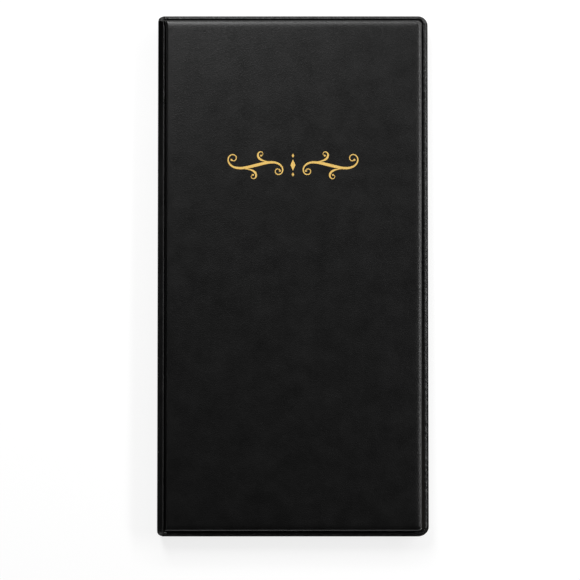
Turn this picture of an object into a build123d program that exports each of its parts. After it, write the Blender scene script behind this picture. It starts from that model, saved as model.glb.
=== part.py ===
"""Padded guest check presenter: a long, narrow folder of heat-sealed black vinyl.

Two padded covers are joined by a soft vinyl roll at the spine. Each cover is a stack of grained outer
skin, foam, stiffening board and smooth lining, sealed together round its edge. Inside are a receipt
pocket, a clear card pocket and a check pocket, each welded to the lining on three sides. A gold foil
flourish is stamped in the front cover.

The folder lies closed on its back cover. X runs from the spine to the fore edge, Y from the tail edge
to the head edge and Z up from the table; the origin is the middle of the back cover's outer face.
The covers turn on two fold lines, along Y, on the outer surface of the spine roll.
"""

import os
from math import cos, degrees, pi, radians, sin

from build123d import *

# ---------------------------------------------------------------- driving dimensions, mm

book_width = 132.0  # closed, from the spine to the fore edge
book_height = 254.0  # from the tail edge to the head edge
fore_corner_radius = 4.75
spine_corner_radius = 2.8

skin = 0.5  # grained outer vinyl
foam = 1.8
board = 1.3
lining = 0.4  # smooth inner vinyl
padding_clearance = 0.1  # round the foam and the board, inside the skin

fore_flange = 2.8  # sealed edge outside the padded panel
head_flange = 2.1
tail_flange = 2.5
flange_bead_width = 1.9
flange_bead_height = 0.3
panel_corner_radius = 2.1
panel_edge_radius = 1.9  # soft shoulder of the padding

roll_width = 4.0  # spine roll, seen from the front
roll_shoulder_radius = 2.4
roll_drop = 0.8  # the roll's crest lies this far below the cover's face
hinge_groove = 0.6  # pressed line between the roll and the panel
fold_gap = 0.1  # each side of a fold line

pocket_sheet = 0.3
pocket_depth = 0.6  # room for a folded check or receipt
pocket_seam = 2.6  # width of the welded strip round a pocket
check_pocket_height = 148.0
receipt_pocket_height = 104.0

card_sheet = 0.25
card_depth = 0.9  # room for an embossed card
card_length = 85.6
card_width = 54.0
card_side_play = 1.2
card_overhang = 6.0  # the card stands this far out of its pocket
card_pocket_rise = 9.0  # above the receipt pocket's mouth
card_notch_radius = 9.0  # thumb notch in the middle of the mouth
card_notch_depth = 4.0

closed_play = 0.35  # between the two covers' pockets when the folder is shut

foil = 0.06
foil_recess = 0.1  # the stamping presses the foil below the vinyl's face
flourish_y = 53.6  # middle of the flourish above the middle of the cover
scroll_x = 17.6  # middle of each large scroll
scroll_line = 1.4  # its thickest
scroll_thin_line = 0.42
scroll_outer_length = 26.0
scroll_inner_length = 24.0
branch_length = 14.0
branch_line = 0.95
branch_tip = 0.2
upper_branch_x = 9.9
upper_branch_y = 1.55
lower_branch_x = 25.1
lower_branch_y = -1.75
scroll_dot_radius = 0.5
branch_dot_radius = 0.45
lozenge_width = 2.4
lozenge_height = 5.6
small_lozenge_width = 1.2
small_lozenge_height = 2.0
small_lozenge_y = 4.6
curl_steps = 30  # points along each curl

# ---------------------------------------------------------------- derived places

spine_x = -book_width / 2
fore_x = book_width / 2
cover = skin + foam + board + lining
lining_face = cover - lining  # where the lining meets the flange and the board
flange_face = lining_face - skin  # outer side of the sealed flange

pocket_rise = pocket_depth + pocket_sheet
card_rise = card_depth + card_sheet
book_thickness = 2 * cover + card_rise + pocket_rise + closed_play
front_lining_face = book_thickness - cover
middle_plane = Plane.XY.offset(book_thickness / 2)

hinge_x = spine_x + roll_width  # the roll ends in the hinge groove here
panel_x = hinge_x + hinge_groove
panel_width = fore_x - fore_flange - panel_x
panel_height = book_height - head_flange - tail_flange
panel_middle_x = panel_x + panel_width / 2
panel_middle_y = (tail_flange - head_flange) / 2

shoulder_x = spine_x + roll_shoulder_radius
shoulder_z = roll_drop + roll_shoulder_radius
roll_foot_radius = roll_width - roll_shoulder_radius
roll_foot_z = roll_drop + roll_foot_radius
fold_angle = 225.0  # place of the fold line round the roll's shoulder, in the XZ plane
fold_x = shoulder_x + roll_shoulder_radius * cos(radians(fold_angle))
fold_z = shoulder_z + roll_shoulder_radius * sin(radians(fold_angle))
fold_gap_angle = degrees(fold_gap / roll_shoulder_radius)


# ---------------------------------------------------------------- shared sketches


def closed_outline():
    """Plan of the closed folder, with tighter corners at the spine."""
    with BuildSketch() as outline:
        Rectangle(book_width, book_height)
        fillet(outline.vertices().group_by(Axis.X)[-1], fore_corner_radius)
        fillet(outline.vertices().group_by(Axis.X)[0], spine_corner_radius)
    return outline.sketch


def panel_outline(inset=0.0):
    """Plan of the padded panel, drawn in from its foot by inset."""
    with BuildSketch() as outline:
        with Locations((panel_middle_x, panel_middle_y)):
            RectangleRounded(
                panel_width - 2 * inset,
                panel_height - 2 * inset,
                panel_corner_radius - inset,
            )
    return outline.sketch


def add_bend(middle, outer_radius, sheet, start, turn):
    """Sheet bent round a middle point, added to the sketch under way."""
    with BuildLine() as edge:
        outer = CenterArc(middle, outer_radius, start, turn)
        inner = CenterArc(middle, outer_radius - sheet, start, turn)
        Line(outer @ 0, inner @ 0)
        Line(outer @ 1, inner @ 1)
    make_face(edge.edges())


def full_height(section):
    """Solid with this section in the XZ plane, trimmed to the folder's outline."""
    with BuildPart() as sheet:
        extrude(section, amount=book_height / 2, both=True)
        extrude(closed_outline(), amount=book_thickness, mode=Mode.INTERSECT)
    return sheet.part


def cover_roll(depth, sheet, top):
    """The cover's share of the spine roll, from the fold line over the crest and up to the flange."""
    with BuildSketch(Plane.XZ) as section:
        start = fold_angle + fold_gap_angle
        add_bend((shoulder_x, shoulder_z), roll_shoulder_radius - depth, sheet, start, 270 - start)
        add_bend((shoulder_x, roll_foot_z), roll_foot_radius - depth, sheet, 270, 90)
        with Locations((hinge_x - depth, roll_foot_z)):
            Rectangle(sheet, top - roll_foot_z, align=(Align.MAX, Align.MIN))
    return full_height(section.sketch)


def spine_strip(depth, sheet):
    """The spine's share of the roll, from one fold line to the other."""
    turn = fold_angle - fold_gap_angle - 180
    far_shoulder_z = book_thickness - shoulder_z
    with BuildSketch(Plane.XZ) as section:
        add_bend((shoulder_x, shoulder_z), roll_shoulder_radius - depth, sheet, 180, turn)
        add_bend((shoulder_x, far_shoulder_z), roll_shoulder_radius - depth, sheet, 180 - turn, turn)
        with Locations((spine_x + depth, shoulder_z)):
            Rectangle(sheet, far_shoulder_z - shoulder_z, align=(Align.MIN, Align.MIN))
    return full_height(section.sketch)


# ---------------------------------------------------------------- covers, modelled as the back cover


def make_skin():
    """Outer vinyl: flange with its bead, padded panel and half of the spine roll's shoulder."""
    with BuildPart() as padding_space:
        with BuildSketch(Plane.XY.offset(skin)):
            add(panel_outline(skin))
        extrude(amount=lining_face - skin)
        fillet(padding_space.edges().group_by(Axis.Z)[0], panel_edge_radius - skin)

    with BuildPart() as sheet:
        with BuildSketch():
            add(panel_outline())
        extrude(amount=flange_face)
        fillet(sheet.edges().group_by(Axis.Z)[0], panel_edge_radius)
        with BuildSketch(Plane.XY.offset(flange_face)):
            with Locations(((hinge_x - skin + fore_x) / 2, 0)):
                Rectangle(fore_x - hinge_x + skin, book_height)
        extrude(amount=skin)
        with BuildSketch(Plane.XY.offset(flange_face)):
            add(closed_outline())
            offset(closed_outline(), amount=-flange_bead_width, mode=Mode.SUBTRACT)
            with Locations((spine_x, 0)):
                Rectangle(2 * (panel_x - spine_x), book_height, mode=Mode.SUBTRACT)
        extrude(amount=-flange_bead_height)
        extrude(closed_outline(), amount=lining_face, mode=Mode.INTERSECT)
        add(padding_space.part, mode=Mode.SUBTRACT)
        add(cover_roll(0, skin, lining_face))
    return sheet.part


def make_foam():
    """Foam pad with its outer edges rounded by the skin."""
    with BuildPart() as pad:
        with BuildSketch(Plane.XY.offset(skin)):
            add(panel_outline(skin + padding_clearance))
        extrude(amount=foam)
        fillet(pad.edges().group_by(Axis.Z)[0], panel_edge_radius - skin)
    return pad.part


def make_board():
    """Stiffening board between the foam and the lining."""
    with BuildPart() as stiffener:
        with BuildSketch(Plane.XY.offset(skin + foam)):
            add(panel_outline(skin + padding_clearance))
        extrude(amount=board)
    return stiffener.part


def make_lining():
    """Inner vinyl: flat over the board and the flange, then doubled behind the skin in the roll."""
    with BuildPart() as sheet:
        with BuildSketch(Plane.XY.offset(lining_face)):
            with Locations(((hinge_x - skin - lining + fore_x) / 2, 0)):
                Rectangle(fore_x - hinge_x + skin + lining, book_height)
        extrude(amount=lining)
        extrude(closed_outline(), amount=cover, mode=Mode.INTERSECT)
        add(cover_roll(skin, lining, cover))
    return sheet.part


# ---------------------------------------------------------------- pockets


def pocket_outline(height):
    """Plan of a full-width pocket that reaches this far up from the tail edge."""
    with BuildSketch() as outline:
        add(closed_outline())
        with Locations(((panel_x + fore_x) / 2, (height - book_height) / 2)):
            Rectangle(fore_x - panel_x, height, mode=Mode.INTERSECT)
    return outline.sketch


def card_outline():
    """Plan of the card pocket, above the receipt pocket."""
    length = card_length + 2 * card_side_play + 2 * pocket_seam
    height = card_width - card_overhang + pocket_seam
    bottom = receipt_pocket_height + card_pocket_rise - book_height / 2
    with BuildSketch() as outline:
        with Locations((panel_middle_x, bottom + height / 2)):
            Rectangle(length, height)
    return outline.sketch


def make_pocket_sheet(outline, bottom, sheet):
    """Flat front of a pocket."""
    with BuildPart() as front:
        with BuildSketch(Plane.XY.offset(bottom)):
            add(outline)
        extrude(amount=sheet)
    return front.part


def make_card_sheet(bottom):
    """Clear front of the card pocket, with a round thumb notch in the middle of its mouth."""
    outline = card_outline()
    notch_y = outline.bounding_box().max.Y + card_notch_radius - card_notch_depth
    with BuildPart() as front:
        with BuildSketch(Plane.XY.offset(bottom)):
            add(outline)
            with Locations((panel_middle_x, notch_y)):
                Circle(card_notch_radius, mode=Mode.SUBTRACT)
        extrude(amount=card_sheet)
    return front.part


def make_pocket_seam(outline, bottom, depth):
    """Weld between a pocket's front and the lining: strips at the spine, fore and tail sides."""
    box = outline.bounding_box()
    left, right, bottom_y, top_y = box.min.X, box.max.X, box.min.Y, box.max.Y
    inner_left = left + pocket_seam
    inner_right = right - pocket_seam
    inner_y = bottom_y + pocket_seam
    spine_side = [(left, bottom_y), (inner_left, inner_y), (inner_left, top_y), (left, top_y)]
    fore_side = [(right, bottom_y), (inner_right, inner_y), (inner_right, top_y), (right, top_y)]
    tail_side = [(left, bottom_y), (inner_left, inner_y), (inner_right, inner_y), (right, bottom_y)]
    strips = []
    for corners in (spine_side, fore_side, tail_side):
        with BuildPart() as strip:
            with BuildSketch(Plane.XY.offset(bottom)):
                add(outline)
                with BuildLine():
                    Polyline(*corners, close=True)
                make_face(mode=Mode.INTERSECT)
            extrude(amount=depth)
        strips.append(strip.part)
    return Compound(children=strips)


# ---------------------------------------------------------------- gold flourish on the front cover


def curl_points(start, heading, length, turn):
    """Points (x, y, heading) along a curve that bends more and more, by turn degrees in all."""
    x, y = start
    points = [(x, y, heading)]
    step = length / curl_steps
    for index in range(curl_steps):
        before = (index / curl_steps) ** 3
        after = ((index + 1) / curl_steps) ** 3
        middle_heading = heading + turn * (before + after) / 2
        x += step * cos(radians(middle_heading))
        y += step * sin(radians(middle_heading))
        points.append((x, y, heading + turn * after))
    return points


def add_stroke(points, thin, thick):
    """Pen stroke along the points, thickest half way, added to the sketch under way."""
    left = []
    right = []
    for index, (x, y, heading) in enumerate(points):
        swell = sin(pi * index / (len(points) - 1)) ** 3
        half_width = (thin + (thick - thin) * swell) / 2
        across = (-half_width * sin(radians(heading)), half_width * cos(radians(heading)))
        left.append((x + across[0], y + across[1]))
        right.append((x - across[0], y - across[1]))
    with BuildLine() as edge:
        Polyline(*left, *reversed(right), close=True)
    make_face(edge.edges())


def add_dot(point, radius):
    with Locations((point[0], point[1])):
        Circle(radius)


def add_lozenge(middle_y, width, height):
    with BuildLine() as edge:
        Polyline(
            (-width / 2, middle_y),
            (0, middle_y + height / 2),
            (width / 2, middle_y),
            (0, middle_y - height / 2),
            close=True,
        )
    make_face(edge.edges())


def flourish_outline():
    """Mirrored pair of branching scrolls with three lozenges between them."""
    with BuildSketch() as outline:
        outward = curl_points((scroll_x, 0), -14, scroll_outer_length, 427)
        inward = curl_points((scroll_x, 0), 166, scroll_inner_length, 458)
        back_along = [(x, y, heading + 180) for x, y, heading in reversed(inward)]
        add_stroke(back_along + outward[1:], scroll_thin_line, scroll_line)
        add_dot(outward[-1], scroll_dot_radius)
        add_dot(inward[-1], scroll_dot_radius)
        upper_branch = curl_points((upper_branch_x, upper_branch_y), 4, branch_length, 361)
        lower_branch = curl_points((lower_branch_x, lower_branch_y), 184, branch_length, 361)
        for branch in (upper_branch, lower_branch):
            add_stroke(branch, branch_tip, branch_line)
            add_dot(branch[-1], branch_dot_radius)
        mirror(about=Plane.YZ)
        add_lozenge(0, lozenge_width, lozenge_height)
        add_lozenge(small_lozenge_y, small_lozenge_width, small_lozenge_height)
        add_lozenge(-small_lozenge_y, small_lozenge_width, small_lozenge_height)
    return outline.sketch.moved(Location((0, flourish_y)))


def stamp(bottom, height):
    """Solid in the flourish's shape."""
    with BuildPart() as solid:
        with BuildSketch(Plane.XY.offset(bottom)):
            add(flourish_outline())
        extrude(amount=height)
    return solid.part


# ---------------------------------------------------------------- build and write


def front_of(part):
    """The same piece on the front cover: mirrored in the plane half way up the closed folder."""
    return part.mirror(middle_plane)


def write(part, name):
    part.label = name
    export_step(part, f"parts/{name}.step")


os.makedirs("parts", exist_ok=True)

cover_skin = make_skin()
cover_foam = make_foam()
cover_board = make_board()
cover_lining = make_lining()

write(cover_skin, "back_skin")
write(cover_foam, "back_foam")
write(cover_board, "back_board")
write(cover_lining, "back_lining")
write(front_of(cover_skin) - stamp(book_thickness - foil_recess, foil_recess), "front_skin")
write(front_of(cover_foam), "front_foam")
write(front_of(cover_board), "front_board")
write(front_of(cover_lining), "front_lining")
write(stamp(book_thickness - foil_recess, foil), "foil_flourish")
write(spine_strip(0, skin), "spine_skin")
write(spine_strip(skin, lining), "spine_lining")

check_outline = pocket_outline(check_pocket_height)
write(make_pocket_sheet(check_outline, cover + pocket_depth, pocket_sheet), "check_pocket")
write(make_pocket_seam(check_outline, cover, pocket_depth), "check_pocket_seam")

receipt_outline = pocket_outline(receipt_pocket_height)
receipt_bottom = front_lining_face - pocket_rise
receipt_seam_bottom = receipt_bottom + pocket_sheet
write(make_pocket_sheet(receipt_outline, receipt_bottom, pocket_sheet), "receipt_pocket")
write(make_pocket_seam(receipt_outline, receipt_seam_bottom, pocket_depth), "receipt_pocket_seam")

card_bottom = front_lining_face - card_rise
write(make_card_sheet(card_bottom), "card_pocket")
write(make_pocket_seam(card_outline(), card_bottom + card_sheet, card_depth), "card_pocket_seam")
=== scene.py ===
"""Looks of the padded guest check presenter, in Blender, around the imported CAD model.

Sizes are in millimetres here and become metres when a mesh is made. The covers, the spine roll and the
pockets are fine surfaces built from profiles; the foam and the boards are the CAD solids.
"""

import math

import bpy
import numpy as np
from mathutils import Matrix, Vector


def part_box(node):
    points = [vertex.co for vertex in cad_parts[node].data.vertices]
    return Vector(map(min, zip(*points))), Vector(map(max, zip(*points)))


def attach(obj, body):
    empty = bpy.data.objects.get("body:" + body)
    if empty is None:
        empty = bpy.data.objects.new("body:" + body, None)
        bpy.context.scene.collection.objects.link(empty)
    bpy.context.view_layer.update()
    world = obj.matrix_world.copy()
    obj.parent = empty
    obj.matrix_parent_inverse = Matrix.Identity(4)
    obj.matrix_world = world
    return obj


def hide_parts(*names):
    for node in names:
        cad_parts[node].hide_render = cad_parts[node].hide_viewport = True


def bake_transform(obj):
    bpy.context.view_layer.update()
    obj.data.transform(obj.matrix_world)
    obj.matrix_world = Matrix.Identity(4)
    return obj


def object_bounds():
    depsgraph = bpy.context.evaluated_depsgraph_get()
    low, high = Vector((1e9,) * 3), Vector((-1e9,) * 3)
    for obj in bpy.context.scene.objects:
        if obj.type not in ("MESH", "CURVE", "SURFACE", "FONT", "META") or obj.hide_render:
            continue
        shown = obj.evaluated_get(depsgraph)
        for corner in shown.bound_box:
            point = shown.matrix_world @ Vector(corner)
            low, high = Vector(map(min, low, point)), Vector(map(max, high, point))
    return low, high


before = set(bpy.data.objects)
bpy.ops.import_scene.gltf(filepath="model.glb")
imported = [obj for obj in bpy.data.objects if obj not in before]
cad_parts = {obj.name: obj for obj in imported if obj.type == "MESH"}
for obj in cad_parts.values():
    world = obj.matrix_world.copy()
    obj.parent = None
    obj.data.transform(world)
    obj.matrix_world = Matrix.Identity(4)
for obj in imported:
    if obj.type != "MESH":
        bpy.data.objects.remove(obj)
cad_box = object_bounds()

# ---------------------------------------------------------------- sizes of the CAD model, mm


def node_box(name):
    """Lowest and highest corner of a CAD node, in mm."""
    return [np.round(np.array(corner) * 1000, 3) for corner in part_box(name)]


HALF_WIDTH, HALF_HEIGHT, THICKNESS = [round(v * 1000, 3) for v in cad_box[1]]
MIDDLE_Z = THICKNESS / 2
LINING_FACE = node_box("back_board")[1][2]  # depth of the plane where the skin and the lining meet
COVER = node_box("check_pocket_seam")[0][2]  # thickness of a cover
SKIN = 0.5
FLANGE = LINING_FACE - SKIN  # depth of the sealed flange below a cover's face
PANEL_X = node_box("check_pocket")[0][0]  # spine side of the panel and of the pockets
HINGE_X = PANEL_X - 0.6  # the line where a cover and the spine roll meet
ROLL_DROP = 0.8  # depth of the spine roll's crest below a cover's face
SPINE_CORNER = 2.8  # radius of the outline's corners at the spine
FORE_CORNER = 4.75  # and at the fore edge
CHECK_MOUTH_Y = node_box("check_pocket")[1][1]
RECEIPT_MOUTH_Y = node_box("receipt_pocket")[1][1]
CARD_LOW, CARD_HIGH = node_box("card_pocket")
PANEL_MIDDLE_X = (CARD_LOW[0] + CARD_HIGH[0]) / 2
SHEET_RISE = node_box("check_pocket")[0][2] - COVER  # of a pocket's front above the lining
SHEET = node_box("check_pocket")[1][2] - node_box("check_pocket")[0][2]  # thickness of its vinyl
CARD_SHEET = CARD_HIGH[2] - CARD_LOW[2]
CARD_RISE = THICKNESS - COVER - CARD_HIGH[2]  # of the card pocket's front above the front lining
SEAM = 2.6  # width of a pocket's weld
FOIL_Y = (node_box("foil_flourish")[0][1] + node_box("foil_flourish")[1][1]) / 2

# ---------------------------------------------------------------- look of the padding, mm

# Each sealed edge has a thin lip, a bead that ends in a groove this far in, and a padded rim whose outermost
# point overhangs the groove.
FORE = {"bead": 2.6, "rim": 2.95}
HEAD = {"bead": 2.0, "rim": 2.4}
TAIL = {"bead": 2.5, "rim": 2.9}
FORE_LEAN = 0.45  # the fore rim lies this much further in at the tail than at the head
LEAN_START, LEAN_FADE = 6.0, 14.0  # where this begins to fade, in from the fore edge, and over what width
BEAD = 0.3  # height of the bead above the flange
GROOVE = 0.42  # depth of the groove below the flange
BEAD_CREST = 0.6  # place of the bead's crest, as a share of its width
LIP = 0.34  # width of the lip, as a share of the same
LIP_SHARE = 0.45  # height of the lip, as a share of the bead's
KNURL = 0.03  # height of the sealing tool's marks along the bead
SHOULDER = 4.4  # from the rim's outermost point to the panel's flat face
SOFTNESS = 0.625  # power of the cosine in a shoulder's section: 1 is a quarter ellipse, less fades softly
TUCK = math.radians(38)  # how far the padding tucks back under its rim
TUCK_REACH = 1.2
RIM_SHARE = 0.48  # height of that outermost point, as a share of the panel's height
SPINE_SHOULDER = 1.0
SPINE_RIM_SHARE = 0.62
CROWN = 0.28  # swell of the panel's middle above its CAD face
CROWN_END = 2.3  # the swell ends this far in from the head and tail
CORNER_TIGHTNESS = 1.6  # how fast the rings round a fore corner tighten further in
FLARE = 0.75  # how far the hinge groove bends towards the spine's corners
FLARE_LENGTH, FLARE_WIDTH = 4.5, 9.0  # over what part of the cover

# The lining's face lies LINING_BACK under its CAD face, so that the welded pockets show over it, and rises
# again inside the board's rim.
LINING_BACK = 0.06
LINING_PRESS = 0.1  # depth of the line pressed along the sealed edge
LINING_RIM = 0.05
LINING_EDGE = 0.05  # thickness at the very edge
LINING_WAVE = 0.02

CREST_X = -HALF_WIDTH + 2.4  # crest of the spine roll, seen from the front
CREST_RADIUS = 1.1
FLANK_TILT = math.radians(30)  # of the roll's outer flank
ROLL_CORNER = 0.9  # radius between the flank and the spine's flat side
ROLL_SKIN = 0.35
ROLL_LINING = 0.25
ROLL_END = 0.04  # height of the roll at the head and tail
ROLL_FALL = 2.3  # over this length it falls from its full height
SIDE_STEPS = 5  # rows of faces between the roll's corner and the spine's middle
END_NOTCH = 0.9  # how far each half of the spine stops short of the middle at its rounded corners
# Two lines along the spine, each given as x and depth in its section near the hinge; the loop over the halves
# turns them into points but bends nothing about them.
FOLD = ((HINGE_X - 1.6, MIDDLE_Z), (HINGE_X - 3.13, MIDDLE_Z + 0.51))

FOIL_PROUD = 0.025
FOIL_BEVEL = 0.04
CURL_STEPS = 30
DOT_SIDES = 20


def smooth(t):
    """Soft step from 0 to 1."""
    t = np.clip(t, 0.0, 1.0)
    return t * t * (3.0 - 2.0 * t)


def ripple(x, y, size, seed):
    """Gentle unevenness between about -1 and 1, with features of this size in mm: a sum of seeded waves."""
    waves, highest = 7, 3.2
    rng = np.random.default_rng(seed)
    total = 0.0
    for _ in range(waves):
        angle = rng.uniform(0, 2 * math.pi)
        pace = 2 * math.pi / (size * rng.uniform(0.7, 1.7))
        total = total + np.sin(pace * (x * math.cos(angle) + y * math.sin(angle)) + rng.uniform(0, 6.28))
    return total / highest


# ---------------------------------------------------------------- meshes


def new_mesh(name, points, faces, coat, flip=False):
    """Smooth mesh from points in mm, coated with a material; flip turns its faces round."""
    points = np.asarray(points, float) * 0.001
    if flip:
        faces = [tuple(reversed(face)) for face in faces]
    mesh = bpy.data.meshes.new(name)
    mesh.from_pydata(points.tolist(), [], faces)
    mesh.validate()
    mesh.polygons.foreach_set("use_smooth", [True] * len(mesh.polygons))
    mesh.materials.append(coat)
    mesh.update()
    piece = bpy.data.objects.new(name, mesh)
    bpy.context.scene.collection.objects.link(piece)
    return piece


def grid_faces(rows, columns, first=0):
    """Quads over a grid of points stored row by row, from this point on."""
    faces = []
    for i in range(rows - 1):
        for j in range(columns - 1):
            a = first + i * columns + j
            b = a + columns
            faces.append((a, a + 1, b + 1, b))
    return faces


def border(rows, columns):
    """Border of a grid of points, in order round it."""
    loop = [i * columns for i in range(rows)]
    loop += [(rows - 1) * columns + j for j in range(1, columns)]
    loop += [i * columns + columns - 1 for i in range(rows - 2, -1, -1)]
    loop += list(range(columns - 2, 0, -1))
    return loop


def closed_sheet(name, top, bottom, coat, flip=False):
    """Sheet between two grids of points of the same shape, with flat walls round its border."""
    rows, columns = top.shape[:2]
    count = rows * columns
    faces = [tuple(reversed(face)) for face in grid_faces(rows, columns)]
    faces += grid_faces(rows, columns, count)
    loop = border(rows, columns)
    for a, b in zip(loop, loop[1:] + loop[:1]):
        faces.append((b, a, a + count, b + count))
    points = np.concatenate([top.reshape(-1, 3), bottom.reshape(-1, 3)])
    piece = new_mesh(name, points, faces, coat, flip)
    smooth_faces = [True] * (len(faces) - len(loop)) + [False] * len(loop)
    piece.data.polygons.foreach_set("use_smooth", smooth_faces)
    return piece


# ---------------------------------------------------------------- plan grid of a cover

# Stations run in from an edge: -1 is the foot of its wall, 0 the edge, 1 the end of the bead, 2 the
# panel's foot, tucked under its rim, 3 the end of its soft shoulder and 4 a place INNER_REACH further in.
# The station just below 0 keeps the corner between the wall and the lip crisp.
INNER_REACH = 10.0
FAR = 9.0  # station of every place beyond these
WALL_STATIONS = [-1.0, -0.4]
BEAD_CURVE = [LIP + (1 - LIP) * (1 - math.cos(math.pi * k / 14)) / 2 for k in range(15)]
BEAD_STATIONS = [0.0, 0.2] + BEAD_CURVE
GROOVE_STATIONS = [1.3, 1.7, 2.0]
SHOULDER_STATIONS = [2 + k / 22 for k in range(1, 23)]
EDGE_STATIONS = WALL_STATIONS + BEAD_STATIONS + GROOVE_STATIONS + SHOULDER_STATIONS
INNER_STATIONS = [3 + (k / 8) ** 1.5 for k in range(1, 9)]

# The same from the hinge groove: 0 is the groove, 1 the panel's foot, 2 the end of the shoulder.
SPINE_STATIONS = [0.0, 0.35, 0.7, 1.0] + [1 + k / 20 for k in range(1, 21)]
SPINE_INNER = [2 + (k / 8) ** 1.5 for k in range(1, 9)]


def shoulder_angle(t):
    """Angle round a shoulder's section, which goes from under its rim, past 0 there, to 90 degrees on top."""
    return -TUCK + np.clip(t, 0, 1) * (math.pi / 2 + TUCK)


def shoulder_reach(t, width):
    """How far a point of the shoulder's section lies in from the rim's outermost point."""
    angle = shoulder_angle(t)
    above = width * (1 - np.clip(np.cos(angle), 0, 1) ** SOFTNESS)
    return np.where(angle < 0, TUCK_REACH * (1 - np.cos(angle)), above)


def shoulder_rise(t, rim_share):
    """Height of a point of the shoulder's section, from 0 at its foot to 1 at the top."""
    sine = np.sin(shoulder_angle(t))
    under = rim_share * (1 + sine / math.sin(TUCK))
    return np.where(sine < 0, under, rim_share + (1 - rim_share) * sine)


def edge_distance(station, edge):
    """Distance in from a sealed edge."""
    foot = edge["rim"] + shoulder_reach(0, SHOULDER)
    outside = np.interp(station, [0, 1, 2], [0, edge["bead"], foot])
    inside = edge["rim"] + shoulder_reach(station - 2, SHOULDER) + INNER_REACH * np.clip(station - 3, 0, 1)
    return np.where(station <= 2, outside, inside)


def spine_distance(station):
    """Distance in from the hinge groove."""
    start = PANEL_X - HINGE_X
    foot = start + shoulder_reach(0, SPINE_SHOULDER)
    reach = shoulder_reach(station - 1, SPINE_SHOULDER)
    inside = start + reach + INNER_REACH * np.clip(station - 2, 0, 1)
    return np.where(station <= 1, station * foot, inside)


def line_places(low_stations, low_place, high_place, high_edge, pitch):
    """Places and stations along one direction, low end first."""
    low = [float(low_place(s)) for s in low_stations]
    high_stations = EDGE_STATIONS + INNER_STATIONS
    high = [float(high_place - edge_distance(s, high_edge)) for s in high_stations][::-1]
    count = max(2, int((high[0] - low[-1]) / pitch))
    middle = list(np.linspace(low[-1], high[0], count + 1)[1:-1])
    far = [FAR] * len(middle)
    places = np.array(low + middle + high)
    low_side = np.array(list(low_stations) + far + [FAR] * len(high))
    high_side = np.array([FAR] * len(low) + far + high_stations[::-1])
    return places, low_side, high_side


def spine_flare(y):
    """How far the hinge groove bends towards the spine's corners at the head and tail."""
    return FLARE * smooth(1 - (HALF_HEIGHT - 1.2 - np.abs(y)) / FLARE_LENGTH)


def cover_grid(pitch=1.6):
    """X, Y, edge station and spine station over a cover, from the hinge groove to the fore edge."""
    xs, x_spine, x_fore = line_places(
        SPINE_STATIONS + SPINE_INNER, lambda s: HINGE_X + spine_distance(s), HALF_WIDTH, FORE, pitch
    )
    edge = EDGE_STATIONS + INNER_STATIONS
    ys, y_tail, y_head = line_places(
        edge, lambda s: -HALF_HEIGHT + edge_distance(s, TAIL), HALF_HEIGHT, HEAD, pitch
    )
    y_side = np.minimum(y_tail, y_head)
    X, Y = np.meshgrid(xs, ys)
    edge_station = np.minimum(x_fore[None, :], y_side[:, None])
    spine_station = np.repeat(x_spine[None, :], len(ys), axis=0)

    # the two fore corners: round rings, tighter further in, in place of a square grid
    n = len(EDGE_STATIONS) - 1
    last_column = len(xs) - 1
    shoulder_end = edge_distance(3, FORE)
    for tail in (True, False):
        end = TAIL if tail else HEAD
        sign = -1 if tail else 1
        for i in range(n + 1):
            for j in range(n + 1):
                ring = max(i, j)
                station = EDGE_STATIONS[n - ring]
                if ring == 0:
                    turn = 0.0
                elif i >= j:
                    turn = math.pi / 4 * j / i
                else:
                    turn = math.pi / 2 - math.pi / 4 * i / j
                radius = FORE_CORNER * (1 - edge_distance(station, FORE) / shoulder_end) ** CORNER_TIGHTNESS
                in_x = edge_distance(station, FORE) + radius * (1 - math.cos(turn))
                in_y = edge_distance(station, end) + radius * (1 - math.sin(turn))
                column = last_column - n + i
                row = n - j if tail else len(ys) - 1 - n + j
                X[row, column] = HALF_WIDTH - in_x
                Y[row, column] = sign * (HALF_HEIGHT - in_y)
                edge_station[row, column] = station
    flare = spine_flare(Y) * (1 - smooth((X - HINGE_X) / FLARE_WIDTH))
    inside = HALF_WIDTH - X
    lean = FORE_LEAN * smooth((HALF_HEIGHT - Y) / (2 * HALF_HEIGHT)) * smooth(inside / FORE["bead"])
    lean = lean * (1 - smooth((inside - LEAN_START) / LEAN_FADE))
    return X - flare - lean, Y, edge_station, spine_station


# ---------------------------------------------------------------- height of a cover's face


def crown(x, y):
    """Swell of the padded panel above its CAD face."""
    across = np.clip((x - PANEL_MIDDLE_X) / (PANEL_MIDDLE_X - PANEL_X), -1, 1)
    along = np.clip(y / (HALF_HEIGHT - CROWN_END), -1, 1)
    swell = (1 - across**6) * (1 - along**10)
    uneven = 0.035 * ripple(x, y, 46, 3) + 0.014 * ripple(x, y, 17, 5)
    return swell * (CROWN + uneven)


def flange_height(edge_station, x, y):
    """Height above the lining of the flange with its bead and groove.

    The tool's marks follow one another along each edge, uneven in pitch and in height."""
    along = np.where(x > HALF_WIDTH - 6, y, x)
    knurl = KNURL * np.sin(2.3 * along + 1.2 * np.sin(0.31 * along)) * (0.6 + 0.4 * np.sin(0.07 * along))
    t = np.clip(edge_station, 0, 1)
    outer_t = np.clip((BEAD_CREST - t) / (BEAD_CREST - LIP), 0, 1)
    outer = LIP_SHARE + (1 - LIP_SHARE) * np.sqrt(1 - outer_t**2)
    inner = 1 - np.clip((t - BEAD_CREST) / (1 - BEAD_CREST), 0, 1) ** 2.5
    bead = (GROOVE + BEAD + knurl * inner) * np.minimum(outer, inner)
    back_up = GROOVE * smooth((edge_station - 2) / 0.6)
    wall = np.where(edge_station <= -1, 1.0, 0.0)
    return (SKIN - GROOVE + bead + back_up) * (1 - wall)


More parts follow.
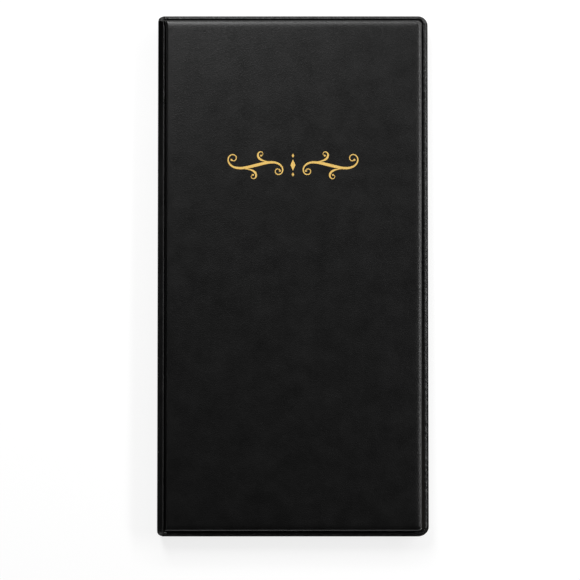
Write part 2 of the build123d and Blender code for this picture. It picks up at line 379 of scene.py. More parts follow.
def roll_rise(edge_station, x, y):
    """Height of the roll's crest above the flange, which drops to nothing at the head and tail."""
    full = smooth((HALF_HEIGHT - np.abs(y) - 0.5) / ROLL_FALL)
    uneven = 0.05 * ripple(0, y, 26, 21) + 0.02 * ripple(0, y, 5, 22)
    foot = LINING_FACE - flange_height(edge_station, x, y)
    return ROLL_END + (foot - ROLL_DROP - uneven - ROLL_END) * full


def wall_tangent():
    """Angle round the crest where the roll's straight wall leaves it towards the panel's foot."""
    reach = PANEL_X + shoulder_reach(0, SPINE_SHOULDER) - CREST_X
    drop = FLANGE - ROLL_DROP - CREST_RADIUS
    return math.acos(CREST_RADIUS / math.hypot(reach, drop)) - math.atan2(drop, reach)


def hinge_share():
    """Height of the wall at the hinge line, as a share of the crest's."""
    turn = wall_tangent()
    wall_x = CREST_X + CREST_RADIUS * math.cos(turn)
    wall_depth = ROLL_DROP + CREST_RADIUS * (1 - math.sin(turn))
    depth = wall_depth + (HINGE_X - wall_x) / math.tan(turn)
    return (FLANGE - depth) / (FLANGE - ROLL_DROP)


def lower_of(a, b):
    """The lower of two shares of a height, with a rounded corner where they meet."""
    a, b = np.maximum(a, 1e-4), np.maximum(b, 1e-4)
    return (a**-4.0 + b**-4.0 - 1) ** -0.25


def face_height(x, y, edge_station, spine_station, swell):
    """Height of a cover's grained face above its lining."""
    edge_rise = shoulder_rise(edge_station - 2, RIM_SHARE)
    spine_rise = shoulder_rise(spine_station - 1, SPINE_RIM_SHARE)
    panel = (FLANGE + swell * crown(x, y)) * lower_of(edge_rise, spine_rise)
    wall = hinge_share() * np.clip(1 - spine_station, 0, 1) * roll_rise(edge_station, x, y)
    return flange_height(edge_station, x, y) + panel + wall


def to_front(points):
    """The same points on the front cover."""
    out = points.copy()
    out[..., 2] = THICKNESS - out[..., 2]
    return out


def stack(x, y, z):
    """Grid of points from grids of x and y and a grid or number for z."""
    return np.stack([x, y, np.broadcast_to(z, x.shape)], axis=-1)


# ---------------------------------------------------------------- materials


def material(name):
    """New material with its nodes, its links and its shader."""
    made = bpy.data.materials.new(name)
    made.use_nodes = True
    return made, made.node_tree.nodes, made.node_tree.links, made.node_tree.nodes["Principled BSDF"]


def node(nodes, kind, **inputs):
    """New node: a name in lower case sets a property, any other an input."""
    made = nodes.new(kind)
    for key, value in inputs.items():
        if key[0].islower():
            setattr(made, key, value)
        else:
            made.inputs[key.replace("_", " ")].default_value = value
    return made


def object_place(nodes):
    """Place on the object, in metres."""
    return nodes.new("ShaderNodeTexCoord").outputs["Object"]


def texture(nodes, links, kind, place, output, **inputs):
    """One output of a texture, read at this place."""
    made = node(nodes, kind, **inputs)
    links.new(place, made.inputs["Vector"])
    return made.outputs[output]


def math_of(nodes, links, operation, *values):
    """Result of a sum on sockets or plain numbers."""
    made = node(nodes, "ShaderNodeMath", operation=operation)
    for value, place in zip(values, made.inputs):
        if isinstance(value, float):
            place.default_value = value
        else:
            links.new(value, place)
    return made.outputs[0]


def ramp(nodes, links, source, low, high, from_low=0.0, from_high=1.0):
    """Number that goes from low to high as source goes from from_low to from_high."""
    made = nodes.new("ShaderNodeMapRange")
    made.inputs["From Min"].default_value = from_low
    made.inputs["From Max"].default_value = from_high
    made.inputs["To Min"].default_value = low
    made.inputs["To Max"].default_value = high
    links.new(source, made.inputs["Value"])
    return made.outputs["Result"]


def tint(nodes, links, source, low, high):
    """Colour that goes from low to high, each a value of source and the colour there."""
    made = nodes.new("ShaderNodeValToRGB")
    for element, (value, colour) in zip(made.color_ramp.elements, (low, high)):
        element.position = value
        element.color = [*colour, 1]
    links.new(source, made.inputs["Fac"])
    return made.outputs["Color"]


def bump(nodes, links, height, strength, distance, under=None):
    """Normal that follows a height, on top of the normal under it."""
    made = node(nodes, "ShaderNodeBump", Strength=strength, Distance=distance)
    links.new(height, made.inputs["Height"])
    if under is not None:
        links.new(under, made.inputs["Normal"])
    return made.outputs["Normal"]


def edge_mask(nodes, links, place):
    """1 on the beads of a cover's sealed edges and 0 elsewhere."""
    split = nodes.new("ShaderNodeSeparateXYZ")
    links.new(place, split.inputs[0])
    fade = 0.4  # width of the mask's soft border, mm

    def beyond(source, limit):
        return ramp(nodes, links, source, 0.0, 1.0, (limit - fade) / 1000, limit / 1000)

    fore = beyond(split.outputs["X"], HALF_WIDTH - 2.1)
    ends = beyond(math_of(nodes, links, "ABSOLUTE", split.outputs["Y"]), HALF_HEIGHT - 1.5)
    return math_of(nodes, links, "MAXIMUM", fore, ends)


def grained_vinyl(name, base, roughness, grain, mottle, pressed=False):
    """Black vinyl with embossed leather grain: fine cells with creases, over soft mottling.

    Pressed adds the sealing tool's marks along the beads."""
    made, nodes, links, shader = material(name)
    place = object_place(nodes)
    warp = texture(nodes, links, "ShaderNodeTexNoise", place, "Color", Scale=700.0, Detail=2.0)
    bent = nodes.new("ShaderNodeMix")
    bent.data_type = "RGBA"
    bent.blend_type = "LINEAR_LIGHT"
    bent.inputs["Factor"].default_value = 0.00045
    links.new(place, bent.inputs["A"])
    links.new(warp, bent.inputs["B"])
    cells = texture(
        nodes,
        links,
        "ShaderNodeTexVoronoi",
        bent.outputs["Result"],
        "Distance",
        feature="DISTANCE_TO_EDGE",
        Scale=1150.0,
    )
    creases = ramp(nodes, links, cells, 0.0, 1.0, 0.0, 0.22)
    pebbles = texture(nodes, links, "ShaderNodeTexNoise", place, "Fac", Scale=2400.0, Detail=3.0)
    clouds = texture(nodes, links, "ShaderNodeTexNoise", place, "Fac", Scale=95.0, Detail=4.0, Roughness=0.6)

    normal = bump(nodes, links, creases, grain, 0.00006)
    normal = bump(nodes, links, pebbles, grain * 0.7, 0.00003, normal)
    normal = bump(nodes, links, clouds, mottle, 0.0004, normal)
    if pressed:
        marks = texture(nodes, links, "ShaderNodeTexNoise", place, "Fac", Scale=620.0, Detail=1.0)
        masked = math_of(nodes, links, "MULTIPLY", marks, edge_mask(nodes, links, place))
        normal = bump(nodes, links, masked, 0.7, 0.0005, normal)
    links.new(normal, shader.inputs["Normal"])

    dark = (0.3, [base * 0.8] * 3)
    light = (0.7, [base * 1.2, base * 1.2, base * 1.22])
    links.new(tint(nodes, links, clouds, dark, light), shader.inputs["Base Color"])
    rough = ramp(nodes, links, clouds, roughness - 0.03, roughness + 0.03, 0.3, 0.7)
    links.new(rough, shader.inputs["Roughness"])
    shader.inputs["Specular IOR Level"].default_value = 0.53
    return made


def dull_towards_tail(made):
    """The spine roll shines at the head and grows duller over the 5 cm below it."""
    nodes, links, shader = made.node_tree.nodes, made.node_tree.links, made.node_tree.nodes["Principled BSDF"]
    split = nodes.new("ShaderNodeSeparateXYZ")
    links.new(object_place(nodes), split.inputs[0])
    rough = shader.inputs["Roughness"].links[0].from_socket
    dullness = ramp(nodes, links, split.outputs["Y"], 2.3, 1.0, 0.05, 0.1)
    links.new(math_of(nodes, links, "MULTIPLY", rough, dullness), shader.inputs["Roughness"])
    shader.inputs["Specular IOR Level"].default_value = 0.22
    return made


def gold_foil():
    """Stamped foil: bright gold that takes a little of the grain under it."""
    made, nodes, links, shader = material("gold_foil")
    place = object_place(nodes)
    speckle = texture(nodes, links, "ShaderNodeTexNoise", place, "Fac", Scale=1500.0, Detail=3.0)
    deep, bright = (0.32, (0.95, 0.55, 0.13)), (0.55, (1.0, 0.7, 0.21))
    links.new(tint(nodes, links, speckle, deep, bright), shader.inputs["Base Color"])
    shader.inputs["Metallic"].default_value = 0.5
    links.new(ramp(nodes, links, speckle, 0.68, 0.48, 0.3, 0.7), shader.inputs["Roughness"])
    links.new(bump(nodes, links, speckle, 0.5, 0.00003), shader.inputs["Normal"])
    return made


def clear_vinyl(name, roughness, haze, base):
    """Clear pocket vinyl, with faint press marks."""
    made, nodes, links, shader = material(name)
    place = object_place(nodes)
    marks = texture(nodes, links, "ShaderNodeTexNoise", place, "Fac", Scale=130.0, Detail=3.0)
    links.new(bump(nodes, links, marks, 0.25, 0.0004), shader.inputs["Normal"])
    rough = ramp(nodes, links, marks, roughness * 0.7, roughness * 1.3, 0.3, 0.7)
    links.new(rough, shader.inputs["Roughness"])
    shader.inputs["Base Color"].default_value = [base, base * 1.03, base * 1.04, 1]
    shader.inputs["Transmission Weight"].default_value = 1.0 - haze
    shader.inputs["IOR"].default_value = 1.45
    shader.inputs["Specular IOR Level"].default_value = 0.25
    return made


def foam_material():
    """Grey open foam with small cells, whose hollows are coloured darker: painted shade."""
    made, nodes, links, shader = material("padding_foam")
    cells = texture(nodes, links, "ShaderNodeTexVoronoi", object_place(nodes), "Distance", Scale=2500.0)
    # painted shade: the hollows of the cells are coloured darker than their walls
    shaded_hollow, wall = (0.0, (0.2, 0.2, 0.2)), (1.0, (0.42, 0.42, 0.41))
    links.new(tint(nodes, links, cells, shaded_hollow, wall), shader.inputs["Base Color"])
    links.new(bump(nodes, links, cells, 0.6, 0.0002), shader.inputs["Normal"])
    shader.inputs["Roughness"].default_value = 0.95
    return made


def board_material():
    """Raw greyboard with flecks of fibre."""
    made, nodes, links, shader = material("stiffening_board")
    place = object_place(nodes)
    fibre = texture(nodes, links, "ShaderNodeTexNoise", place, "Fac", Scale=900.0, Detail=6.0, Roughness=0.7)
    dark, light = (0.35, (0.2, 0.18, 0.16)), (0.6, (0.36, 0.33, 0.29))
    links.new(tint(nodes, links, fibre, dark, light), shader.inputs["Base Color"])
    links.new(bump(nodes, links, fibre, 0.3, 0.0001), shader.inputs["Normal"])
    shader.inputs["Roughness"].default_value = 0.85
    return made


cover_vinyl = grained_vinyl("cover_vinyl", 0.0022, 0.4, 0.42, 0.12, pressed=True)
roll_vinyl = dull_towards_tail(grained_vinyl("roll_vinyl", 0.0022, 0.2, 0.3, 0.2))
lining_vinyl = grained_vinyl("lining_vinyl", 0.012, 0.38, 0.15, 0.05)
foil = gold_foil()
clear = clear_vinyl("clear_vinyl", 0.2, 0.08, 0.86)
clear_weld = clear_vinyl("clear_weld", 0.35, 0.4, 0.35)

for layer, layer_material in (("foam", foam_material), ("board", board_material)):
    for side in ("front", "back"):
        kept_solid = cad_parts[f"{side}_{layer}"].data
        kept_solid.materials.clear()
        kept_solid.materials.append(layer_material())


# ---------------------------------------------------------------- padded covers


def make_cover_skin(side):
    """Grained outside of a cover, closed by a flat base on its lining's plane."""
    X, Y, edge, spine = cover_grid()
    height = face_height(X, Y, edge, spine, 1.0 if side == "front" else 0.0)
    top = stack(X, Y, LINING_FACE - height)
    rows, columns = X.shape
    base = top.copy()
    base[..., 2] = LINING_FACE
    loop = border(rows, columns)
    points = np.concatenate([top.reshape(-1, 3), base.reshape(-1, 3)[loop]])
    count = rows * columns
    faces = [tuple(reversed(face)) for face in grid_faces(rows, columns)]
    size = len(loop)
    for k in range(size):
        n = (k + 1) % size
        faces.append((loop[n], loop[k], count + k, count + n))
    faces.append(tuple(count + k for k in reversed(range(size))))
    front = side == "front"
    if front:
        points = to_front(points)
    piece = new_mesh(f"{side}_cover_skin", points, faces, cover_vinyl, flip=front)
    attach(piece, f"{side}_cover")
    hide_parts(f"{side}_skin")


def make_lining(side):
    """Smooth inner sheet, pressed down a little along the sealed edge and over the board's rim."""
    X, Y, edge, spine = cover_grid(pitch=2.5)
    pressed = LINING_PRESS * np.sin(math.pi * np.clip(edge - 0.3, 0, 1)) ** 2 * (edge < 1.4)
    rim = LINING_RIM * smooth(edge - 2) * smooth(spine - 1)
    uneven = LINING_WAVE * ripple(X, Y, 30, 11) * smooth((edge - 2) / 1.5)
    inner = stack(X, Y, COVER - LINING_BACK - pressed + rim + uneven)
    outer = stack(X, Y, LINING_FACE)
    inner[..., 2] += (edge <= -1) * (LINING_FACE + LINING_EDGE - COVER + LINING_BACK)
    front = side == "front"
    if front:
        inner, outer = to_front(inner), to_front(outer)
    piece = closed_sheet(f"{side}_cover_lining", outer, inner, lining_vinyl, flip=front)
    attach(piece, f"{side}_cover")
    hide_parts(f"{side}_lining")


for side in ("back", "front"):
    make_cover_skin(side)
    make_lining(side)


# ---------------------------------------------------------------- spine roll


def spine_edge_x(y):
    """Outline of the spine, rounded at its two corners."""
    inside = np.clip(SPINE_CORNER - (HALF_HEIGHT - np.abs(y)), 0, SPINE_CORNER)
    return -HALF_WIDTH + SPINE_CORNER - np.sqrt(SPINE_CORNER**2 - inside**2)


def between(start, end, steps):
    """Points along the straight line between two others, without either of them."""
    shares = [k / steps for k in range(1, steps)]
    return [tuple(p + (q - p) * share for p, q in zip(start, end)) for share in shares]


def arc(x, depth, radius, start, end, steps):
    """Points round an arc of the roll's section, with both its ends."""
    turns = [start + (end - start) * k / steps for k in range(steps + 1)]
    return [(x + radius * math.cos(a), depth - radius * math.sin(a)) for a in turns]


def roll_section():
    """Points of the roll's outer surface at its full size, from the hinge line over the crest to the spine.

    The depth is measured in from the cover's face."""
    hinge = (HINGE_X, FLANGE - hinge_share() * (FLANGE - ROLL_DROP))
    flank_turn = math.pi / 2 + FLANK_TILT
    crest = arc(CREST_X, ROLL_DROP + CREST_RADIUS, CREST_RADIUS, wall_tangent(), flank_turn, 14)
    flank_x, flank_depth = crest[-1]
    corner_x = -HALF_WIDTH + ROLL_CORNER * (1 + math.cos(flank_turn))
    corner_depth = flank_depth + (flank_x - corner_x) * math.tan(FLANK_TILT)
    middle_depth = corner_depth + ROLL_CORNER * math.sin(flank_turn)
    corner = arc(-HALF_WIDTH + ROLL_CORNER, middle_depth, ROLL_CORNER, flank_turn, math.pi, 8)
    wall = between(hinge, crest[0], 4)
    flank = between(crest[-1], (corner_x, corner_depth), 5)
    return [(HINGE_X, LINING_FACE), hinge] + wall + crest + flank + corner


def roll_surface():
    """Grid of points over half of the roll, rows from the tail to the head."""
    X, Y, edge, _ = cover_grid()
    y_line, hinge_line, edge_line = Y[:, 0], X[:, 0], edge[:, 0]
    foot = LINING_FACE - flange_height(edge_line, hinge_line, y_line)
    rise = roll_rise(edge_line, hinge_line, y_line)
    left = spine_edge_x(y_line)
    columns = []
    for k, (x, depth) in enumerate(roll_section()):
        share = (x - HINGE_X) / (-HALF_WIDTH - HINGE_X)
        new_depth = foot - rise * (FLANGE - depth) / (FLANGE - ROLL_DROP)
        if k == 0:
            new_depth = np.full_like(foot, LINING_FACE)
        columns.append(np.stack([hinge_line + share * (left - hinge_line), y_line, new_depth], axis=-1))
    side = columns[-1]
    notch = END_NOTCH * (1 - smooth((HALF_HEIGHT - np.abs(y_line)) / SPINE_CORNER))
    for k in range(1, SIDE_STEPS + 1):
        lower = side.copy()
        lower[:, 2] += (MIDDLE_Z - notch - side[:, 2]) * k / SIDE_STEPS
        columns.append(lower)
    return np.stack(columns, axis=1)


def inset(points, depth):
    """The roll's surface moved in by depth, in its own section."""
    ahead = np.empty_like(points)
    ahead[:, 1:-1] = points[:, 2:] - points[:, :-2]
    ahead[:, 0] = points[:, 1] - points[:, 0]
    ahead[:, -1] = [0.0, 0.0, 1.0]
    ahead[..., 1] = 0
    ahead /= np.maximum(np.linalg.norm(ahead, axis=-1, keepdims=True), 1e-9)
    normal = np.stack([ahead[..., 2], np.zeros(ahead.shape[:2]), -ahead[..., 0]], axis=-1)
    moved = points + normal * depth
    moved[:, 0] = points[:, 0] + [-depth, 0, 0]
    moved[:, -1] = points[:, -1] + [depth, 0, 0]
    return moved


roll = roll_surface()
for side in ("back", "front"):
    front = side == "front"
    start, end = [(x * 0.001, 0, (THICKNESS - depth if front else depth) * 0.001) for x, depth in FOLD]
    under_skin, inmost = inset(roll, ROLL_SKIN), inset(roll, ROLL_SKIN + ROLL_LINING)
    layers = (
        ("skin", roll, under_skin, roll_vinyl, "cover_vinyl"),
        ("lining", under_skin, inmost, lining_vinyl, "lining_vinyl"),
    )
    for layer, outside, inside, vinyl, slot in layers:
        if front:
            outside, inside = to_front(outside), to_front(inside)
        piece = closed_sheet(f"spine_{layer}_{side}_half", inside, outside, vinyl, flip=front)
        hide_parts(f"spine_{layer}")
        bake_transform(piece)
        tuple(start)
        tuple(end)


# ---------------------------------------------------------------- pockets

POCKET_SINK = 0.05  # how far a welded pocket front is pressed into the lining
POCKET_SLACK = 0.04  # what its free part stays under its CAD height
CARD_CORNER = 2.5
WELD_WIDTH = 1.5
WELD_STEP = 0.2  # between the points of a weld's path
RIB_PITCH = 0.8


def fine_line(low, high, edge_step, middle_step, margin):
    """Places from low to high, close together near both ends."""
    edge = np.arange(0, margin, edge_step)
    count = max(2, int((high - low - 2 * margin) / middle_step))
    middle = np.linspace(low + margin, high - margin, count)
    return np.concatenate([low + edge, middle, (high - edge)[::-1]])


def round_corner(x, y, corner_x, corner_y, radius):
    """The points with one corner of their outline rounded."""
    toward_x = -1 if corner_x < PANEL_MIDDLE_X else 1
    toward_y = -1 if corner_y < (y.min() + y.max()) / 2 else 1
    centre_x, centre_y = corner_x - toward_x * radius, corner_y - toward_y * radius
    a = (x - centre_x) * toward_x / radius
    b = (y - centre_y) * toward_y / radius
    near = (a > 0) & (b > 0)
    new_a, new_b = a * np.sqrt(np.clip(1 - b**2 / 2, 0, 1)), b * np.sqrt(np.clip(1 - a**2 / 2, 0, 1))
    x = np.where(near, centre_x + toward_x * radius * new_a, x)
    y = np.where(near, centre_y + toward_y * radius * new_b, y)
    return x, y


def weld_distance(x, y, low, high):
    """Distance from a pocket's welded sides: all but its mouth, which faces the head edge."""
    return np.minimum(np.minimum(x - low[0], high[0] - x), y - low[1])


def make_vinyl_pocket(side, name, mouth_y, seed):
    """Full-width pocket front: pressed to the lining where it is welded, a little uneven elsewhere."""
    low, high = (PANEL_X, -HALF_HEIGHT), (HALF_WIDTH, mouth_y)
    X, Y = np.meshgrid(*(fine_line(low[k], high[k], 0.4, 2.2, 7.0) for k in (0, 1)))
    rise = smooth((weld_distance(X, Y, low, high) - SEAM * 0.75) / 3.2)
    uneven = 0.07 * ripple(X, Y, 38, seed) + 0.03 * ripple(X, Y, 13, seed + 1)
    mouth_line = 0.1 * np.exp(-(((mouth_y - Y - 3.0) / 0.45) ** 2))  # pressed 3 mm below the mouth
    inner = COVER - POCKET_SINK + (SHEET_RISE - POCKET_SLACK + uneven) * rise
    outer = inner + SHEET - mouth_line * rise
    rounded_x, rounded_y = round_corner(X, Y, HALF_WIDTH, -HALF_HEIGHT, FORE_CORNER)
    inner, outer = stack(rounded_x, rounded_y, inner), stack(rounded_x, rounded_y, outer)
    front = side == "front"
    if front:
        inner, outer = to_front(inner), to_front(outer)
    piece = closed_sheet(f"{name}_sheet", inner, outer, lining_vinyl, flip=front)
    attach(piece, f"{side}_cover")
    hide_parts(name)


def make_card_pocket():
    """Clear pocket front with a thumb notch in its mouth."""
    low, high = CARD_LOW, CARD_HIGH
    X, Y = np.meshgrid(*(fine_line(low[k], high[k], 0.4, 1.3, 6.0) for k in (0, 1)))
    rise = smooth((weld_distance(X, Y, low, high) - SEAM * 0.7) / 2.2)
    inner = COVER - 0.03 + (CARD_RISE + 0.02) * rise + 0.03 * ripple(X, Y, 24, 41) * rise
    outer = inner + CARD_SHEET
    for corner_x in (low[0], high[0]):
        X, Y = round_corner(X, Y, corner_x, low[1], CARD_CORNER)
    notch_radius, notch_depth = 9.0, 4.0
    bent = 14.0  # the grid's rows follow the notch this far in from the mouth
    reach = np.sqrt(np.clip(notch_radius**2 - (X - PANEL_MIDDLE_X) ** 2, 0, None))
    cut = np.clip(reach - (notch_radius - notch_depth), 0, None)
    Y = Y - cut * np.clip(1 - (high[1] - Y) / bent, 0, 1)
    inner, outer = to_front(stack(X, Y, inner)), to_front(stack(X, Y, outer))
    piece = closed_sheet("card_pocket_sheet", inner, outer, clear, flip=True)
    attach(piece, "front_cover")
    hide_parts("card_pocket")


def weld_path(low, high, left_radius, right_radius):
    """Points (x, y, heading) down one side of a pocket, along its foot and up the other side."""
    points = []

    def add_run(x0, y0, x1, y1):
        length = math.hypot(x1 - x0, y1 - y0)
        count = max(1, round(length / WELD_STEP))
        heading = math.atan2(y1 - y0, x1 - x0)
        for k in range(count):
            points.append((x0 + (x1 - x0) * k / count, y0 + (y1 - y0) * k / count, heading))

    def add_turn(x, y, radius, start):
        count = max(3, round(radius * math.pi / 2 / WELD_STEP))
        for k in range(count):
            a = start + math.pi / 2 * k / count
            points.append((x + radius * math.cos(a), y + radius * math.sin(a), a + math.pi / 2))

    add_run(low[0], high[1], low[0], low[1] + left_radius)
    add_turn(low[0] + left_radius, low[1] + left_radius, left_radius, math.pi)
    add_run(low[0] + left_radius, low[1], high[0] - right_radius, low[1])
    add_turn(high[0] - right_radius, low[1] + right_radius, right_radius, 1.5 * math.pi)
    add_run(high[0], low[1] + right_radius, high[0], high[1])
    return points


def make_weld(side, name, low, high, radii, sheet, vinyl):
    """Ribbed strip that the sealing tool presses along three sides of a pocket."""
    middle = SEAM / 2
    end_gap = 0.8  # between the weld's ends and the mouth
    path = weld_path((low[0] + middle, low[1] + middle), (high[0] - middle, high[1] - end_gap), *radii)
    across = np.linspace(-WELD_WIDTH / 2, WELD_WIDTH / 2, 7)
    bulge = np.sqrt(1 - (across / (WELD_WIDTH / 2)) ** 2)
    top = []
    for k, (x, y, heading) in enumerate(path):
        rib = 0.5 + 0.5 * math.cos(2 * math.pi * k * WELD_STEP / RIB_PITCH)
        height = COVER + sheet - 0.12 + (0.13 + 0.09 * rib) * bulge
        row_x, row_y = x - across * math.sin(heading), y + across * math.cos(heading)
        top.append(np.stack([row_x, row_y, height], axis=-1))
    top = np.array(top)
    bottom = top.copy()
    bottom[..., 2] = COVER + sheet - 0.16  # just inside the pocket's front
    front = side == "front"
    if front:
        top, bottom = to_front(top), to_front(bottom)
    piece = closed_sheet(f"{name}_weld", top, bottom, vinyl, flip=front)
    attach(piece, f"{side}_cover")
    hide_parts(f"{name}_seam")


weld_radii = (0.8, FORE_CORNER - SEAM / 2)
make_vinyl_pocket("back", "check_pocket", CHECK_MOUTH_Y, 31)
make_vinyl_pocket("front", "receipt_pocket", RECEIPT_MOUTH_Y, 35)
full_pockets = (("back", "check_pocket", CHECK_MOUTH_Y), ("front", "receipt_pocket", RECEIPT_MOUTH_Y))
for side, name, mouth_y in full_pockets:
    low, high = (PANEL_X, -HALF_HEIGHT), (HALF_WIDTH, mouth_y)
    make_weld(side, name, low, high, weld_radii, SHEET, lining_vinyl)
make_card_pocket()
make_weld("front", "card_pocket", CARD_LOW, CARD_HIGH, (1.6, 1.6), CARD_SHEET, clear_weld)


# ---------------------------------------------------------------- gold flourish


def curl_points(start, heading, length, turn):
    """Points (x, y, heading) along a curve that bends more and more, by turn degrees in all."""
    x, y = start
    points = [(x, y, heading)]
    step = length / CURL_STEPS
    for index in range(CURL_STEPS):
        before = (index / CURL_STEPS) ** 3
        after = ((index + 1) / CURL_STEPS) ** 3
        middle_heading = math.radians(heading + turn * (before + after) / 2)
        x += step * math.cos(middle_heading)
        y += step * math.sin(middle_heading)
        points.append((x, y, heading + turn * after))
    return points


class Gilding:
    """Points and faces of the foil, laid on the crowned panel."""

    def __init__(self):
        self.points = []
        self.faces = []

    def add_patch(self, top, rim):
        """Patch with this top, a fan or a ladder of (points, faces), and a rim that meets the vinyl."""
        first = len(self.points)
        points, faces = top
        for x, y in points:
            self.points.append((x, y, FOIL_PROUD))
        for x, y in rim[1]:
            self.points.append((x, y, -FOIL_PROUD))
        self.faces += [tuple(first + k for k in face) for face in faces]
        count = len(rim[0])
        for k in range(count):
            n = (k + 1) % count
            under, under_next = first + len(points) + k, first + len(points) + n
            self.faces.append((first + rim[0][n], first + rim[0][k], under, under_next))
        self.faces.append(tuple(first + len(points) + k for k in reversed(range(count))))

    def add_stroke(self, path, thin, thick):
        """Stroke along a path, thin at its ends and thick in the middle."""
        left, right, wide_left, wide_right = [], [], [], []
        last = len(path) - 1
        for index, (x, y, heading) in enumerate(path):
            half = (thin + (thick - thin) * math.sin(math.pi * index / last) ** 3) / 2
            a = math.radians(heading)
            across = (-math.sin(a), math.cos(a))
            for line, sign, reach in (
                (left, 1, half),
                (right, -1, half),
                (wide_left, 1, half + FOIL_BEVEL),
                (wide_right, -1, half + FOIL_BEVEL),
            ):
                line.append((x + sign * reach * across[0], y + sign * reach * across[1]))
        size = len(path)
        faces = [(k, size + k, size + k + 1, k + 1) for k in range(last)]
        order = list(range(size)) + [size + k for k in reversed(range(size))]
        outline = [(wide_left + wide_right)[k] for k in order]
        self.add_patch((left + right, faces), (order[::-1], outline[::-1]))

    def add_fan(self, middle, corners):
        """Flat patch round a middle point."""
        count = len(corners)
        faces = [(count, k, (k + 1) % count) for k in range(count)]
        outline = []
        for x, y in corners:
            away = Vector((x - middle[0], y - middle[1]))
            away = away * (1 + FOIL_BEVEL / away.length)
            outline.append((middle[0] + away.x, middle[1] + away.y))
        self.add_patch((list(corners) + [middle], faces), (list(range(count)), outline))

    def add_dot(self, point, radius):
        """Round dot on the end of a curl."""
        x, y = point[:2]
        turns = [2 * math.pi * k / DOT_SIDES for k in range(DOT_SIDES)]
        self.add_fan((x, y), [(x + radius * math.cos(a), y + radius * math.sin(a)) for a in turns])

    def add_lozenge(self, y, width, height):
        self.add_fan((0, y), [(width / 2, y), (0, y + height / 2), (-width / 2, y), (0, y - height / 2)])

    def mirror(self):
        """Adds the same foil on the other side of the middle."""
        count = len(self.points)
        self.points += [(-x, y, z) for x, y, z in self.points]
        self.faces += [tuple(count + k for k in reversed(face)) for face in self.faces]


def make_flourish():
    """Mirrored pair of branching scrolls with three lozenges between them."""
    foil_work = Gilding()
    outward = curl_points((17.6, 0), heading=-14, length=26.0, turn=427)
    inward = curl_points((17.6, 0), heading=166, length=24.0, turn=458)
    back_along = [(x, y, heading + 180) for x, y, heading in reversed(inward)]
    foil_work.add_stroke(back_along + outward[1:], thin=0.42, thick=1.4)
    foil_work.add_dot(outward[-1], 0.5)
    foil_work.add_dot(inward[-1], 0.5)
    for start, heading in (((9.9, 1.55), 4), ((25.1, -1.75), 184)):
        branch = curl_points(start, heading, length=14.0, turn=361)
        foil_work.add_stroke(branch, thin=0.2, thick=0.95)
        foil_work.add_dot(branch[-1], 0.45)
    foil_work.mirror()
    for y, width, height in ((0, 2.4, 5.6), (4.6, 1.2, 2.0), (-4.6, 1.2, 2.0)):
        foil_work.add_lozenge(y, width, height)
    points = np.array(foil_work.points)
    points[:, 1] += FOIL_Y
    points[:, 2] += THICKNESS + crown(points[:, 0], points[:, 1])
    piece = new_mesh("gilt_flourish", points, foil_work.faces, foil)
    piece.data.polygons.foreach_set("use_smooth", [False] * len(piece.data.polygons))
    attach(piece, "front_cover")
    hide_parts("foil_flourish")


make_flourish()


# ---------------------------------------------------------------- stage, lights and camera

FLOOR_REACH = 3.0
FLOOR_GAP = 0.00015  # below the folder
FLOOR_GLOW = 0.79  # with the light on it, the camera sees the floor as white
SKY_GLOW = 0.025  # light from all round
DISTANCE = 0.7  # of the camera
TILT = math.radians(1.45)
SEEN_WIDTH = 0.2827  # at that distance
SENSOR = 36.0


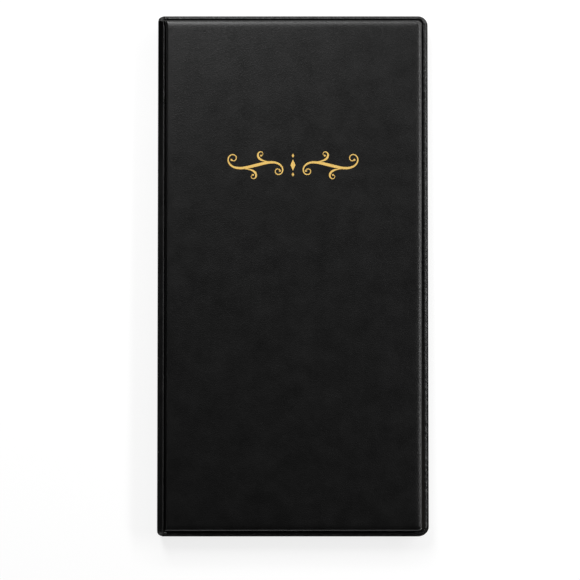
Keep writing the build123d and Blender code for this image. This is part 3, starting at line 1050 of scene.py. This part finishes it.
def add_floor():
    """Pale floor that keeps the folder's shadow and shows white to the camera, to gloss and through vinyl."""
    s = FLOOR_REACH
    mesh = bpy.data.meshes.new("floor")
    mesh.from_pydata([(-s, -s, 0), (s, -s, 0), (s, s, 0), (-s, s, 0)], [], [(0, 1, 2, 3)])
    floor = bpy.data.objects.new("floor", mesh)
    bpy.context.scene.collection.objects.link(floor)
    floor.location.z = -FLOOR_GAP
    made, nodes, links, shader = material("floor_white")
    shader.inputs["Base Color"].default_value = [0.28, 0.28, 0.28, 1]
    shader.inputs["Roughness"].default_value = 0.9
    path = nodes.new("ShaderNodeLightPath").outputs
    seen = math_of(nodes, links, "MAXIMUM", path["Is Camera Ray"], path["Is Glossy Ray"])
    seen = math_of(nodes, links, "MAXIMUM", seen, path["Is Transmission Ray"])
    shader.inputs["Emission Color"].default_value = [1, 1, 1, 1]
    links.new(math_of(nodes, links, "MULTIPLY", seen, FLOOR_GLOW), shader.inputs["Emission Strength"])
    mesh.materials.append(made)


def add_light(name, place, target, size, power):
    light = bpy.data.lights.new(name, "AREA")
    light.shape = "RECTANGLE"
    light.size, light.size_y = size
    light.energy = power
    lamp = bpy.data.objects.new(name, light)
    bpy.context.scene.collection.objects.link(lamp)
    lamp.location = place
    lamp.rotation_euler = (Vector(target) - Vector(place)).to_track_quat("-Z", "Y").to_euler()


def add_world():
    """Dim light from all round, which the camera sees as white."""
    world = bpy.data.worlds.new("world")
    bpy.context.scene.world = world
    world.use_nodes = True
    nodes, links = world.node_tree.nodes, world.node_tree.links
    background = nodes["Background"]
    background.inputs["Color"].default_value = [1, 1, 1, 1]
    seen = nodes.new("ShaderNodeLightPath").outputs["Is Camera Ray"]
    links.new(ramp(nodes, links, seen, SKY_GLOW, 1.0), background.inputs["Strength"])


add_floor()
add_light("key", place=(-0.33, 0.82, 0.72), target=(0, 0, 0), size=(0.3, 0.5), power=7.8)
add_light("fore_strip", place=(0.86, 0.3, 0.56), target=(0, 0.1, 0), size=(1.2, 0.1), power=8.4)
add_light("head_strip", place=(0.1, 0.88, 0.5), target=(0, 0, 0), size=(1.2, 0.1), power=4.0)
add_world()

camera_data = bpy.data.cameras.new("camera")
camera = bpy.data.objects.new("camera", camera_data)
bpy.context.scene.collection.objects.link(camera)
bpy.context.scene.camera = camera
aim = Vector((-0.00144, -0.00725, 0.008))  # frames the folder as in the photograph
camera.location = aim + Vector((0, -math.sin(TILT), math.cos(TILT))) * DISTANCE
camera.rotation_euler = (TILT, 0, 0)
camera_data.sensor_width = SENSOR
camera_data.lens = SENSOR * DISTANCE / SEEN_WIDTH
camera_data.clip_start = 0.01

bpy.context.scene.view_settings.view_transform = "Standard"
